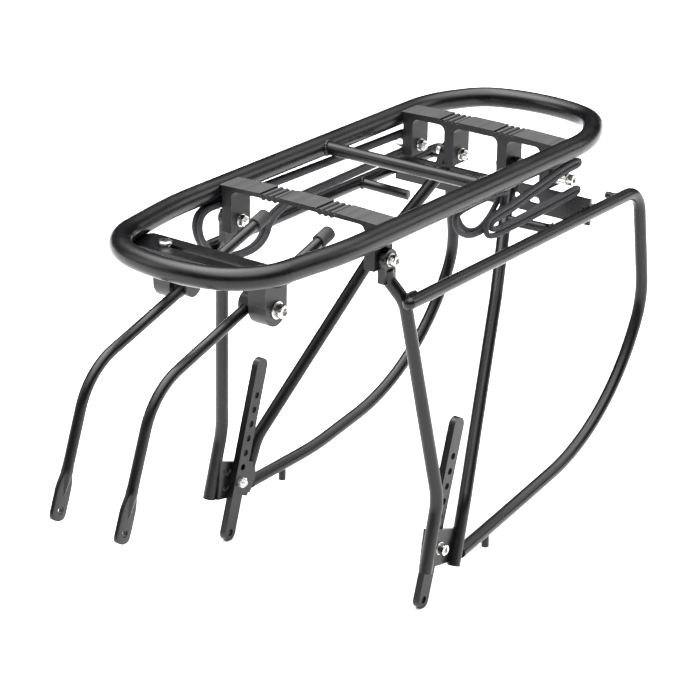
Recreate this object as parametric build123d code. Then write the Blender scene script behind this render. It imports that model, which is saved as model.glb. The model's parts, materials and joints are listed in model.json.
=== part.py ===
from build123d import *
import os
from math import tan, radians, sin, cos, pi

os.makedirs("parts", exist_ok=True)

# Bicycle rear rack, millimetres.  +X runs to the rear of the bicycle, +Y to its right side, +Z up.
# The rack is drawn about the deck ring (crossbar at x = 0, ring centre plane at z = 0),
# then every piece is moved together so that the origin is the middle of the underside.

# ---------------------------------------------------------------- driving sizes
RING_HALF_W = 76.0        # ring centre line to the middle plane
RING_R = 8.0              # ring tube outside radius
RING_WALL = 1.5
RING_FRONT = 276.0        # centre line of the front bow
RING_REAR = 200.0         # centre line of the rear bow
CROSS_R = 5.0             # crossbar tube radius

SLAT_LEN = 22.0           # slat length along the bicycle
SLAT_FRONT_X = -119.5
SLAT_REAR_X = 108.0
SLAT_TOP = 6.6            # top of the middle pad
SLAT_CROWN = 1.4          # outer pads sit this much lower
SLAT_T = 3.4
SLAT_LEG_DROP = 30.0      # underside of the legs below the ring plane
SLAT_LEG_T = 9.0
RIDGE_Y = 25.0            # rounded ridges either side of the middle pad
RIDGE_W = 17.0
BOLT_Z = -22.5            # axis of the deck bolts

RAIL_R = 5.0              # legs, rails and hoops are 10 mm bar
RAIL_Z = -51.0
RAIL_OUT = 15.0           # rail outboard of the ring, centre line to centre line
RAIL_Y = RING_HALF_W + RAIL_OUT
HOOP_DROP = 262.0         # lower run of the hoop below the ring plane
HOOP_REAR = 211.0
LEG_KINK = (-91.0, RAIL_Y + 9.5, -HOOP_DROP + 51.5)
LEG_FOOT = (-106.0, RAIL_Y + 10.5, -HOOP_DROP - 2.0)
MID_FOOT = (-67.0, RAIL_Y + 9.5, -HOOP_DROP - 12.0)
GUSSET_T = 4.0
GUSSET_Y = RAIL_Y + 5.3   # middle of the gusset plate
LUG_T = 6.0
LUG_W = 16.0

FOOT_W = 13.0
FOOT_T = 5.5
FOOT_PITCH = 11.5
FOOT_HOLES = 7
FOOT_LEAN = 17.5          # degrees from upright
FOOT_BOLT = (-83.3, -HOOP_DROP + 8.0)
FOOT_EYE = 41.0           # bolt hole down to the eyelet hole
M5_R = 2.5
EYE_R = M5_R + 0.25       # eyelet and paddle holes take an M5 screw
M5_HOLE_R = M5_R + 0.1
M6_R = 3.0
HEAD_R = 4.25
HEAD_H = 5.0
WASHER_R = 5.0
WASHER_T = 1.0
NUT_AF = 8.0
NUT_T = 4.0

PLATE_T = 3.5             # slotted cross plate under the front of the ring
PLATE_TOP = -7.2
PLATE_X = -225.0
PLATE_W = 27.0
PLATE_HALF = RING_HALF_W - 10.0
SLOT_HALF = 47.0
SLOT_W = 2 * M5_R + 0.4

CLAMP_X = -218.0
CLAMP_Z = -35.5           # axis of the clamp screw
CLAMP_Y = 42.0
CLAMP_T = 15.0
CLAMP_R = 12.0
BARREL_R = 8.0
BARREL_L = 12.0
ROD_R = 4.0
ROD_FIT = 0.06
PIN_FIT = 0.06
SIDE_GAP = 0.4

STAY_TOP_X = -131.0
STAY_SLOPE = 16.6         # degrees
STAY_BEND_X = -322.0
STAY_LOW_TURN = 69.5      # degrees from level
STAY_LOW = 96.0           # bend corner down to the paddle hole
STAY_BEND_R = 52.0
PADDLE_W = 15.0
PADDLE_L = 34.0
PADDLE_T = 4.0

LAMP_X = 122.5
LAMP_T = 3.0
LAMP_TOP = -40.0
LAMP_LOW = -61.0
LAMP_HOLE_Y = 25.0
LAMP_SLOT_Y = 40.0
LAMP_HOLE_R = 3.25

CORD_R = 2.2
CORD_GAP = 0.2            # between neighbouring strands
SPOOL_L = 11.0            # sleeve on the outer bolt of the rear slat that the cords turn round


# ---------------------------------------------------------------- small helpers
def route(points, radii, close=False):
    """Straight runs joined by tangent arcs; radii has one entry per turned corner."""
    pts = [Vector(*p) for p in points]
    n = len(pts)
    corners = range(n) if close else range(1, n - 1)
    edges = []
    cuts = {}
    for k, i in enumerate(corners):
        a, b, c = pts[i - 1], pts[i], pts[(i + 1) % n]
        u = (a - b).normalized()
        v = (c - b).normalized()
        half = radians(u.get_angle(v)) / 2
        reach = radii[k] / tan(half)
        mid = (u + v).normalized()
        top = b + mid * (radii[k] / sin(half) - radii[k])
        cuts[i] = (b + u * reach, top, b + v * reach)
    for i in corners:
        edges.append(ThreePointArc(cuts[i][0], cuts[i][1], cuts[i][2]))
    spans = range(n) if close else range(n - 1)
    for i in spans:
        j = (i + 1) % n
        start = cuts[i][2] if i in cuts else pts[i]
        end = cuts[j][0] if j in cuts else pts[j]
        if (end - start).length > 1e-6:
            edges.append(Line(start, end))
    return Wire([e.edge() if hasattr(e, "edge") else e for e in edges])


def tube(wire, radius):
    """Round bar along a wire."""
    start = wire.position_at(0)
    aim = wire.tangent_at(0)
    profile = Plane(origin=start, z_dir=aim) * Circle(radius)
    return sweep(profile, path=wire)


def rod_y(x, z, y0, y1, radius):
    """Cylinder along Y between two planes."""
    low, high = min(y0, y1), max(y0, y1)
    return Pos(x, (low + high) / 2, z) * Rot(90, 0, 0) * Cylinder(radius, high - low)


def bar_between(a, b, radius):
    va, vb = Vector(*a), Vector(*b)
    plane = Plane(origin=va, z_dir=(vb - va).normalized())
    return extrude(plane * Circle(radius), (vb - va).length)


def hex_y(x, z, y0, y1, across):
    low, high = min(y0, y1), max(y0, y1)
    face = Plane(origin=(x, low, z), x_dir=(1, 0, 0), z_dir=(0, 1, 0))
    return extrude(face * RegularPolygon(across / 2, 6, major_radius=False), high - low)


def box_span(x0, x1, y0, y1, z0, z1):
    size = Box(abs(x1 - x0), abs(y1 - y0), abs(z1 - z0))
    return Pos((x0 + x1) / 2, (y0 + y1) / 2, (z0 + z1) / 2) * size


def both(shape):
    """A right-hand piece and its mirror on the left."""
    return [shape, mirror(shape, about=Plane.XZ)]


def group(shapes):
    solids = []
    for s in shapes:
        solids += list(s.solids())
    return Compound(children=solids)


# ---------------------------------------------------------------- deck ring and crossbar
ring_half = [
    (-RING_FRONT - 3.0, 0.0),
    (-RING_FRONT + 11.0, RING_HALF_W - 14.0),
    (-RING_FRONT + 101.0, RING_HALF_W),
    (RING_REAR - 56.0, RING_HALF_W),
    (RING_REAR - 13.0, RING_HALF_W - 24.0),
    (RING_REAR + 4.5, 0.0),
]
ring_radii = [115.0, 50.0, 300.0, 94.0, 41.0, 115.0]
ring_pts = [(x, y, 0) for x, y in ring_half] + [(x, -y, 0) for x, y in ring_half[-2:0:-1]]
ring_radii_all = ring_radii + ring_radii[-2:0:-1]
ring_wire = route(ring_pts, ring_radii_all, close=True)
ring_skin = tube(ring_wire, RING_R)
ring_core = tube(ring_wire, RING_R - RING_WALL)
crossbar = rod_y(0, 0, -RING_HALF_W, RING_HALF_W, CROSS_R)
deck_ring = (ring_skin + crossbar) - ring_core

# ---------------------------------------------------------------- slats
SLAT_HALF = RING_HALF_W - 1.0         # blank runs past the tube wall, then is scribed to the tube


def slat_top_z(y):
    """The middle pad is level; outside it the crown falls away."""
    level = RIDGE_Y - RIDGE_W / 2
    return SLAT_TOP - SLAT_CROWN * (max(0.0, abs(y) - level) / (SLAT_HALF - level)) ** 2


def opening(y0, y1, under):
    """Space between two legs, seen from the front, with its upper corners rounded."""
    mid = (y0 + y1) / 2
    points = [(y0, -60.0), (y0, under(y0)), (mid, under(mid)), (y1, under(y1)), (y1, -60.0)]
    shape = make_face(Polyline(*points, close=True).edges())
    corners = [v for v in shape.vertices() if v.Y > -59 and abs(v.X - mid) > 1]
    return fillet(corners, 5.0)


def slat(x_mid, inner_legs):
    pad_edge = RIDGE_Y - RIDGE_W / 2
    outer_start = RIDGE_Y + RIDGE_W / 2
    groove = 1.6
    top = [
        (-SLAT_HALF, slat_top_z(SLAT_HALF)),
        (-outer_start, slat_top_z(outer_start)),
        (-outer_start, slat_top_z(outer_start) - groove),
        (-pad_edge, slat_top_z(pad_edge) - groove),
        (-pad_edge, slat_top_z(pad_edge)),
        (0.0, SLAT_TOP),
    ]
    top += [(-y, z) for y, z in top[-2::-1]]
    ends = [(SLAT_HALF, -SLAT_LEG_DROP), (-SLAT_HALF, -SLAT_LEG_DROP)]
    front = make_face(Polyline(*top, *ends, close=True).edges())
    leg_in = RING_HALF_W - RING_R - SLAT_LEG_T
    spans = [(-leg_in, leg_in)]
    under = lambda y: slat_top_z(y) - SLAT_T
    if inner_legs:
        a, b = RIDGE_Y - 5.0, RIDGE_Y + 4.0
        spans = [(-leg_in, -b), (-a, a), (b, leg_in)]
        under = lambda y: slat_top_z(leg_in) - SLAT_T - 1.2
    for y0, y1 in spans:
        front -= opening(y0, y1, under)
    for side in (-1, 1):
        for dy in (-5.2, 0.0, 5.2):
            y = side * (RIDGE_Y + dy)
            front += Pos(y, slat_top_z(y) - groove - 0.9) * Circle(2.35)
    plane = Plane(origin=(x_mid - SLAT_LEN / 2, 0, 0), x_dir=(0, 1, 0), z_dir=(1, 0, 0))
    body = extrude(plane * front, SLAT_LEN)
    trim = box_span(x_mid - SLAT_LEN, x_mid + SLAT_LEN, RING_HALF_W - RING_R,
                    RING_HALF_W + 40, -90, -2.5)
    tube_side = Pos(x_mid, RING_HALF_W, 0) * Rot(0, 90, 0) * Cylinder(RING_R, 3 * SLAT_LEN)
    for cutter in both(trim) + both(tube_side):
        body -= cutter
    y_far = RING_HALF_W + 30
    body -= rod_y(x_mid, BOLT_Z, -y_far, y_far, M5_HOLE_R)
    return body.solids().sort_by(SortBy.VOLUME)[-1]


front_slat = slat(SLAT_FRONT_X, False)
rear_slat = slat(SLAT_REAR_X, True)

# ---------------------------------------------------------------- slotted cross plate
plate = box_span(PLATE_X - PLATE_W / 2, PLATE_X + PLATE_W / 2, -PLATE_HALF, PLATE_HALF,
                 PLATE_TOP - PLATE_T, PLATE_TOP)
plate = fillet(plate.edges().filter_by(Axis.Z), 5.0)
slot = Pos(PLATE_X, 0, PLATE_TOP) * extrude(
    Plane.XY * Rot(0, 0, 90) * SlotOverall(2 * SLOT_HALF, SLOT_W), 20, both=True)
slot_plate = (plate - slot - ring_skin).solids().sort_by(SortBy.VOLUME)[-1]

# ---------------------------------------------------------------- side frame (right, then mirrored)
BOLT_OUT_Y = RING_HALF_W - RING_R          # outer face of the slats' end legs
lug_mid = BOLT_OUT_Y + LUG_T / 2

front_path = route(
    [(SLAT_FRONT_X, lug_mid, BOLT_Z - 8), (SLAT_FRONT_X + 1.0, lug_mid + 0.4, BOLT_Z - 15),
     (-112.5, RAIL_Y - 8.7, RAIL_Z - 3), LEG_KINK, LEG_FOOT],
    [14.0, 30.0, 45.0])
front_leg = tube(front_path, RAIL_R)


def lug(x, y_mid, z, lean, length):
    """Flattened end of a bar: a plate across Y with a round top and a bolt hole."""
    face = Plane(origin=(x, y_mid - LUG_T / 2, z), x_dir=(1, 0, 0), z_dir=(0, 1, 0))
    tail = Pos(0, length / 2) * Rectangle(LUG_W - 2, length)
    shape = Circle(LUG_W / 2) + tail
    return extrude(face * Rot(0, 0, lean) * shape, LUG_T)


front_lug = lug(SLAT_FRONT_X, lug_mid, BOLT_Z, 0, 17.0)
front_lug -= rod_y(SLAT_FRONT_X, BOLT_Z, 0, 200, M5_HOLE_R)

INNER_LEG_OUT = RIDGE_Y + 4.0
mid_lug_y = INNER_LEG_OUT + LUG_T / 2
mid_path = route(
    [(SLAT_REAR_X - 6, mid_lug_y + 0.3, BOLT_Z - 10), (SLAT_REAR_X - 13, mid_lug_y + 1.2, BOLT_Z - 18),
     (42.0, mid_lug_y + 27.5, RAIL_Z - 51), (-51.0, RAIL_Y + 6.6, -HOOP_DROP + 32.0), MID_FOOT],
    [20.0, 60.0, 40.0])
mid_leg = tube(mid_path, RAIL_R)
mid_lug = lug(SLAT_REAR_X, mid_lug_y, BOLT_Z, 35, 20.0)
mid_lug -= rod_y(SLAT_REAR_X, BOLT_Z, 0, 200, M5_HOLE_R)

hoop_path = route(
    [(-119.5, RAIL_Y, RAIL_Z), (HOOP_REAR - 15, RAIL_Y, RAIL_Z),
     (HOOP_REAR, RAIL_Y + 0.5, -HOOP_DROP + 114.5), (HOOP_REAR - 51, RAIL_Y + 2.5, -HOOP_DROP + 21),
     (20.0, RAIL_Y + 3.0, -HOOP_DROP), (-58.0, RAIL_Y + 8.5, -HOOP_DROP - 5)],
    [22.0, 60.0, 168.0, 300.0])
hoop = tube(hoop_path, RAIL_R)
rail_cap = Pos(-119.5, RAIL_Y, RAIL_Z) * Sphere(RAIL_R)

gusset_face = Plane(origin=(0, GUSSET_Y - GUSSET_T / 2, 0), x_dir=(1, 0, 0), z_dir=(0, 1, 0))
gusset_corners = [(-99.0, -29.0), (-57.0, -14.0), (-57.0, 0.0), (-64.0, 10.0), (-104.0, 2.0)]
gusset_outline = [(x, HOOP_DROP + below) for x, below in gusset_corners]
gusset = extrude(gusset_face * make_face(Polyline(*gusset_outline, close=True).edges()), GUSSET_T)
gusset -= rod_y(FOOT_BOLT[0], FOOT_BOLT[1], 0, 200, M5_HOLE_R)

bridge = bar_between((72.0, RAIL_Y, RAIL_Z), (77.0, mid_lug_y + 15.5, RAIL_Z - 3.0), 4.0)
peg = bar_between((-19.0, RAIL_Y + 6, -HOOP_DROP), (-19.0, RAIL_Y + 6, -HOOP_DROP - 16), 3.0)
stub_a = rod_y(135.0, RAIL_Z, RAIL_Y, RAIL_Y - 13, 2.8)
stub_b = rod_y(168.0, RAIL_Z, RAIL_Y, RAIL_Y - 13, 2.8)

side_right = front_leg + front_lug + hoop + rail_cap + mid_leg + mid_lug
side_right += gusset
side_right += bridge
side_right += peg
side_right += stub_a
side_right += stub_b
side_right -= rod_y(FOOT_BOLT[0], FOOT_BOLT[1], GUSSET_Y + GUSSET_T / 2, 200, HEAD_R + 2.0)
side_right -= rod_y(SLAT_FRONT_X, BOLT_Z, BOLT_OUT_Y + LUG_T, 200, WASHER_R + 0.8)
side_right -= rod_y(SLAT_REAR_X, BOLT_Z, INNER_LEG_OUT + LUG_T, 60, WASHER_R + 0.8)
side_right -= box_span(-135, -100, 0, BOLT_OUT_Y, -60, 10)
side_right -= box_span(85, 130, 0, INNER_LEG_OUT, -60, 10)
side_right -= rod_y(SLAT_FRONT_X, BOLT_Z, 0, 200, M5_HOLE_R)
side_right -= rod_y(SLAT_REAR_X, BOLT_Z, 0, 60, M5_HOLE_R)
side_right = side_right.solids().sort_by(SortBy.VOLUME)[-1]
side_left = mirror(side_right, about=Plane.XZ)

# ---------------------------------------------------------------- lamp plate
lamp = box_span(LAMP_X - LAMP_T / 2, LAMP_X + LAMP_T / 2, -RAIL_Y, RAIL_Y, LAMP_LOW, LAMP_TOP)
for side in (-1, 1):
    lamp -= Pos(LAMP_X, side * LAMP_HOLE_Y, RAIL_Z) * Rot(0, 90, 0) * Cylinder(LAMP_HOLE_R, 20)
    slot_face = Plane(origin=(LAMP_X - 5, side * LAMP_SLOT_Y, RAIL_Z), x_dir=(0, 1, 0), z_dir=(1, 0, 0))
    lamp -= extrude(slot_face * SlotOverall(11.0, 5.5), 10)
for s in both(tube(hoop_path, RAIL_R)):
    lamp -= s
lamp_plate = lamp.solids().sort_by(SortBy.VOLUME)[-1]

# ---------------------------------------------------------------- feet
FOOT_Y = GUSSET_Y - GUSSET_T / 2 - SIDE_GAP / 2 - FOOT_T / 2
foot_top = (FOOT_HOLES - 1) * FOOT_PITCH + FOOT_PITCH + 18.0
foot_low = FOOT_EYE + FOOT_W / 2
foot_plane = Plane(origin=(FOOT_BOLT[0], FOOT_Y - FOOT_T / 2, FOOT_BOLT[1]), x_dir=(1, 0, 0),
                   z_dir=(0, 1, 0))
# in this plane the second axis points down
blank = Pos(0, (foot_low - foot_top) / 2) * Rot(0, 0, 90) * SlotOverall(foot_top + foot_low, FOOT_W)
cuts = Pos(0, FOOT_EYE) * Circle(EYE_R)
for i in range(FOOT_HOLES):
    cuts += Pos(0, -i * FOOT_PITCH) * Circle(M5_R + PIN_FIT if i == 0 else M5_HOLE_R)
foot_right = extrude(foot_plane * Rot(0, 0, FOOT_LEAN) * (blank - cuts), FOOT_T)
foot_left = mirror(foot_right, about=Plane.XZ)


# ---------------------------------------------------------------- fasteners
def cap_bolt(x, z, y_seat, y_end, out):
    """Socket-head bolt along Y: y_seat is under the head, out is +1 or -1."""
    shank = rod_y(x, z, y_end, y_seat, M5_R)
    head = rod_y(x, z, y_seat, y_seat + out * HEAD_H, HEAD_R)
    head = chamfer(head.edges().group_by(Axis.Y)[-1 if out > 0 else 0], 0.5)
    socket = hex_y(x, z, y_seat + out * 2.2, y_seat + out * (HEAD_H + 1), 4.0)
    return shank + head - socket


def washer(x, z, y0, y1, bore):
    return rod_y(x, z, y0, y1, WASHER_R) - rod_y(x, z, y0 - 5, y1 + 5, bore)


def nut(x, z, y0, y1):
    body = hex_y(x, z, y0, y1, NUT_AF)
    return body - rod_y(x, z, y0 - 5, y1 + 5, M5_R)


outer_end = RING_HALF_W - RING_R - SLAT_LEG_T
seat_out = BOLT_OUT_Y + LUG_T + WASHER_T
inner_end = RIDGE_Y - 5.0
seat_in = INNER_LEG_OUT + LUG_T + WASHER_T

front_bolt = cap_bolt(SLAT_FRONT_X, BOLT_Z, seat_out, outer_end - WASHER_T - NUT_T - 1.5, 1)
front_washers = washer(SLAT_FRONT_X, BOLT_Z, seat_out - WASHER_T, seat_out, M5_R)
front_washers2 = washer(SLAT_FRONT_X, BOLT_Z, outer_end - WASHER_T, outer_end, M5_R)
front_nut = nut(SLAT_FRONT_X, BOLT_Z, outer_end - WASHER_T - NUT_T, outer_end - WASHER_T)

rear_seat = BOLT_OUT_Y + WASHER_T
rear_bolt = cap_bolt(SLAT_REAR_X, BOLT_Z, rear_seat + SPOOL_L - WASHER_T,
                     outer_end - WASHER_T - NUT_T - 1.5, 1)
spool = rod_y(SLAT_REAR_X, BOLT_Z, rear_seat - WASHER_T, rear_seat + SPOOL_L - WASHER_T, WASHER_R)
spool -= rod_y(SLAT_REAR_X, BOLT_Z, 0, 200, M5_R)
rear_washers2 = washer(SLAT_REAR_X, BOLT_Z, outer_end - WASHER_T, outer_end, M5_R)
rear_nut = nut(SLAT_REAR_X, BOLT_Z, outer_end - WASHER_T - NUT_T, outer_end - WASHER_T)

inner_bolt = cap_bolt(SLAT_REAR_X, BOLT_Z, seat_in, inner_end - WASHER_T - NUT_T - 1.5, 1)
inner_washers = washer(SLAT_REAR_X, BOLT_Z, seat_in - WASHER_T, seat_in, M5_R)
inner_washers2 = washer(SLAT_REAR_X, BOLT_Z, inner_end - WASHER_T, inner_end, M5_R)
inner_nut = nut(SLAT_REAR_X, BOLT_Z, inner_end - WASHER_T - NUT_T, inner_end - WASHER_T)

foot_seat = GUSSET_Y + GUSSET_T / 2 + WASHER_T
foot_in = FOOT_Y - FOOT_T / 2 - SIDE_GAP / 2
foot_bolt = cap_bolt(FOOT_BOLT[0], FOOT_BOLT[1], foot_seat, foot_in - NUT_T - 1.5, 1)
foot_washer = washer(FOOT_BOLT[0], FOOT_BOLT[1], foot_seat - WASHER_T, foot_seat, M5_R)
foot_nut = nut(FOOT_BOLT[0], FOOT_BOLT[1], foot_in - NUT_T, foot_in)

# ---------------------------------------------------------------- stay clamps
clamp_top = PLATE_TOP - PLATE_T - 0.05
block = box_span(CLAMP_X - CLAMP_R, CLAMP_X + CLAMP_R, CLAMP_Y - CLAMP_T / 2, CLAMP_Y + CLAMP_T / 2,
                 CLAMP_Z, clamp_top)
block += rod_y(CLAMP_X, CLAMP_Z, CLAMP_Y - CLAMP_T / 2, CLAMP_Y + CLAMP_T / 2, CLAMP_R)
block -= rod_y(CLAMP_X, CLAMP_Z, 0, 100, M6_R + PIN_FIT)
thread_depth = 10.0
block -= Pos(PLATE_X, CLAMP_Y, clamp_top - thread_depth / 2) * Cylinder(M5_R, thread_depth)
clamp_block_right = block.solids().sort_by(SortBy.VOLUME)[-1]

plate_screw = Pos(PLATE_X, CLAMP_Y, (PLATE_TOP + clamp_top - thread_depth) / 2) * Cylinder(
    M5_R, PLATE_TOP - clamp_top + thread_depth)
button = Pos(PLATE_X, CLAMP_Y, PLATE_TOP + 0.05 + 1.5) * Cylinder(5.25, 3.0)
button = fillet(button.edges().group_by(Axis.Z)[-1], 1.8)
button -= extrude(Plane(origin=(PLATE_X, CLAMP_Y, PLATE_TOP + 1.4)) *
                  RegularPolygon(1.5, 6, major_radius=False), 6)
plate_screw += button
plate_screw += Pos(PLATE_X, CLAMP_Y, PLATE_TOP + 0.5) * Cylinder(M5_R, 1.0)

clamp_in = CLAMP_Y - CLAMP_T / 2 - SIDE_GAP / 4
barrel = rod_y(CLAMP_X, CLAMP_Z, clamp_in - BARREL_L, clamp_in, BARREL_R)
ROD_Y = clamp_in - BARREL_L / 2
slope = radians(STAY_SLOPE)
axis_dir = Vector(cos(slope), 0, sin(slope))
rod_bore = extrude(Plane(origin=Vector(CLAMP_X, ROD_Y, CLAMP_Z) - axis_dir * 30, z_dir=axis_dir)
                   * Circle(ROD_R + ROD_FIT), 60)
barrel -= rod_bore
barrel -= rod_y(CLAMP_X, CLAMP_Z, ROD_Y, clamp_in + 5, M6_R)
clamp_barrel_right = barrel.solids().sort_by(SortBy.VOLUME)[-1]

clamp_out = CLAMP_Y + CLAMP_T / 2 + SIDE_GAP / 4
screw_tip = ROD_Y + ROD_R + 0.35
clamp_screw = rod_y(CLAMP_X, CLAMP_Z, screw_tip, clamp_out + 1.4, M6_R)
m6_head = rod_y(CLAMP_X, CLAMP_Z, clamp_out + 1.4, clamp_out + 7.2, 5.0)
m6_head = chamfer(m6_head.edges().group_by(Axis.Y)[-1], 0.6)
clamp_screw += m6_head - hex_y(CLAMP_X, CLAMP_Z, clamp_out + 4, clamp_out + 9, 5.0)
clamp_washer = rod_y(CLAMP_X, CLAMP_Z, clamp_out, clamp_out + 1.4, 6.4)
clamp_washer -= rod_y(CLAMP_X, CLAMP_Z, 0, 100, M6_R)

# ---------------------------------------------------------------- front stays
top_x = STAY_TOP_X
p_top = Vector(top_x, ROD_Y, CLAMP_Z + (top_x - CLAMP_X) * tan(slope))
p_bend = Vector(STAY_BEND_X, ROD_Y, CLAMP_Z + (STAY_BEND_X - CLAMP_X) * tan(slope))
low = radians(STAY_LOW_TURN)
down = Vector(-cos(low), 0, -sin(low))
p_hole = p_bend + down * STAY_LOW
p_neck = p_bend + down * (STAY_LOW - PADDLE_L + PADDLE_W / 2 + 4)
stay_path = route([tuple(p_top), tuple(p_bend), tuple(p_neck)], [STAY_BEND_R])
stay = tube(stay_path, ROD_R)
paddle_plane = Plane(origin=p_hole - Vector(0, PADDLE_T / 2, 0), x_dir=(-down.Z, 0, down.X),
                     z_dir=(0, 1, 0))
paddle_len = PADDLE_L
paddle = extrude(paddle_plane * Pos(0, -paddle_len / 2 + PADDLE_W / 2) * Rot(0, 0, 90)
                 * SlotOverall(paddle_len, PADDLE_W), PADDLE_T)
stay += paddle
stay -= rod_y(p_hole.X, p_hole.Z, 0, 100, EYE_R)
CAP_L = 14.0
CAP_WALL = 1.4
cap_start = p_top - axis_dir * (CAP_L - 2.0)
cap_plane = Plane(origin=cap_start, z_dir=axis_dir)
cap = extrude(cap_plane * Circle(ROD_R + CAP_WALL), CAP_L)
cap = fillet(cap.faces().sort_by(lambda f: f.center().X)[-1].edges(), 2.0)
cap -= extrude(cap_plane * Circle(ROD_R), CAP_L - 2.0)
stay_right = stay.solids().sort_by(SortBy.VOLUME)[-1]
stay_cap_right = cap.solids().sort_by(SortBy.VOLUME)[-1]

# ---------------------------------------------------------------- luggage cords
def loop(name, points, radii):
    wire = route(points, radii, close=True)
    solid = tube(wire, CORD_R)
    print(name, "length", round(wire.length, 1), "bend radii", radii,
          "volume ratio", round(solid.volume / (pi * CORD_R ** 2 * wire.length), 4))
    return solid


wrap = WASHER_R + CORD_R              # strand centre to spool centre
step = 2 * CORD_R + CORD_GAP          # neighbouring strands, centre to centre
over_lug = BOLT_Z + LUG_W / 2 + CORD_R + 1.0
end_x = SLAT_REAR_X + wrap
first_y = BOLT_OUT_Y + CORD_R + 1.4
CORD_TILT = 0.06                      # the loops lean inward as they hang lower


def hooked(y):
    """Right side: round the rear spool, forward over the front lug, down and back under it."""
    flat = [
        (end_x, BOLT_Z + wrap), (-150.0, over_lug), (-153.0, -30.0), (-130.0, -53.0),
        (-80.0, -58.0), (-72.0, BOLT_Z - wrap - 1.0), (end_x, BOLT_Z - wrap)]
    pts = [(x, y + CORD_TILT * (z - over_lug), z) for x, z in flat]
    return pts, [wrap, 8.5, 15.0, 20.0, 12.0, 12.0, wrap]


cord_right = [loop("cord right", *hooked(first_y + k * step)) for k in (0, 1)]

# left side: slack cord folded back on itself, one fold above the spool and one below it
fold_x = SLAT_REAR_X + 14.0
y_l = -(BOLT_OUT_Y + SPOOL_L - 1.2)
top_z = BOLT_Z + wrap - 0.05
low_z = LAMP_TOP + CORD_R + 0.4
dip_x = SLAT_REAR_X - 14.0
left_pts = [
    (fold_x, y_l, top_z + step + 0.5), (dip_x, y_l, top_z + step + 0.4), (6.0, y_l, -21.0),
    (4.0, y_l, low_z - 1.0), (fold_x, y_l, low_z), (fold_x, y_l, low_z + step + 0.6),
    (20.0, y_l, low_z + step), (20.0, y_l, low_z + 2 * step + 0.6), (dip_x, y_l, top_z),
    (fold_x, y_l, top_z)]
left_radii = [2.5, 60.0, 7.5, 7.5, 2.5, 2.5, 2.4, 2.4, 60.0, 2.5]
cord_left = loop("cord left", left_pts, left_radii)

# the rest of the spare cord hangs in a loop under the ring, pressed against the folded cord
y_t = y_l + 2 * CORD_R - 0.1
tail_pts = [
    (-36.0, y_t, -10.6), (-32.0, y_t, -35.0), (0.0, y_t, -38.5), (33.0, y_t, -23.0), (28.0, y_t, -10.6)]
tail_radii = [9.0, 11.0, 20.0, 7.0, 5.5]
cord_left_tail = loop("cord left tail", tail_pts, tail_radii)

# ---------------------------------------------------------------- collect, place and write
nodes = {
    "deck_ring": [deck_ring],
    "front_slat": [front_slat],
    "rear_slat": [rear_slat],
    "slot_plate": [slot_plate],
    "lamp_plate": [lamp_plate],
    "side_frame_right": [side_right],
    "side_frame_left": [side_left],
    "foot_right": [foot_right],
    "foot_left": [foot_left],
    "foot_bolts": both(foot_bolt),
    "foot_washers": both(foot_washer),
    "foot_nuts": both(foot_nut),
    "front_slat_bolts": both(front_bolt),
    "rear_slat_bolts": both(rear_bolt),
    "inner_leg_bolts": both(inner_bolt),
    "outer_washers": both(front_washers) + both(inner_washers),
    "inner_washers": both(front_washers2) + both(rear_washers2) + both(inner_washers2),
    "slat_nuts": both(front_nut) + both(rear_nut) + both(inner_nut),
    "cord_spools": both(spool),
    "cord_right": cord_right,
    "cord_left": [cord_left],
    "cord_left_tail": [cord_left_tail],
}
for name, piece in (("clamp_block", clamp_block_right), ("plate_screw", plate_screw),
                    ("clamp_barrel", clamp_barrel_right), ("clamp_screw", clamp_screw),
                    ("clamp_washer", clamp_washer), ("stay", stay_right), ("stay_cap", stay_cap_right)):
    nodes[name + "_right"] = [piece]
    nodes[name + "_left"] = [mirror(piece, about=Plane.XZ)]

whole = group([g for shapes in nodes.values() for g in shapes]).bounding_box()
shift = Vector(-(whole.min.X + whole.max.X) / 2, 0, -whole.min.Z)
for name, shapes in nodes.items():
    solids = [s.moved(Location(shift)) for g in shapes for s in g.solids()]
    piece = solids[0] if len(solids) == 1 else Compound(children=solids)
    piece.label = name
    export_step(piece, "parts/" + name + ".step")
print("shift", round(shift.X, 3), round(shift.Y, 3), round(shift.Z, 3))
print("size", [round(v, 1) for v in (whole.size.X, whole.size.Y, whole.size.Z)])
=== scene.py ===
# %% [markdown]
# # A bicycle rear rack
# The metal work comes as solids from CAD. This lesson gives it its looks: satin powder coat, sawn
# slats, zinc screws and braided elastic cord, with the pieces whose shape matters most made again
# as surfaces worked out with numpy. Everything is in metres, in the frame of the CAD model.

import json
from math import cos, pi, radians, sin, tan

import bmesh
import bpy
import numpy as np
from mathutils import Matrix, Vector


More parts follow.
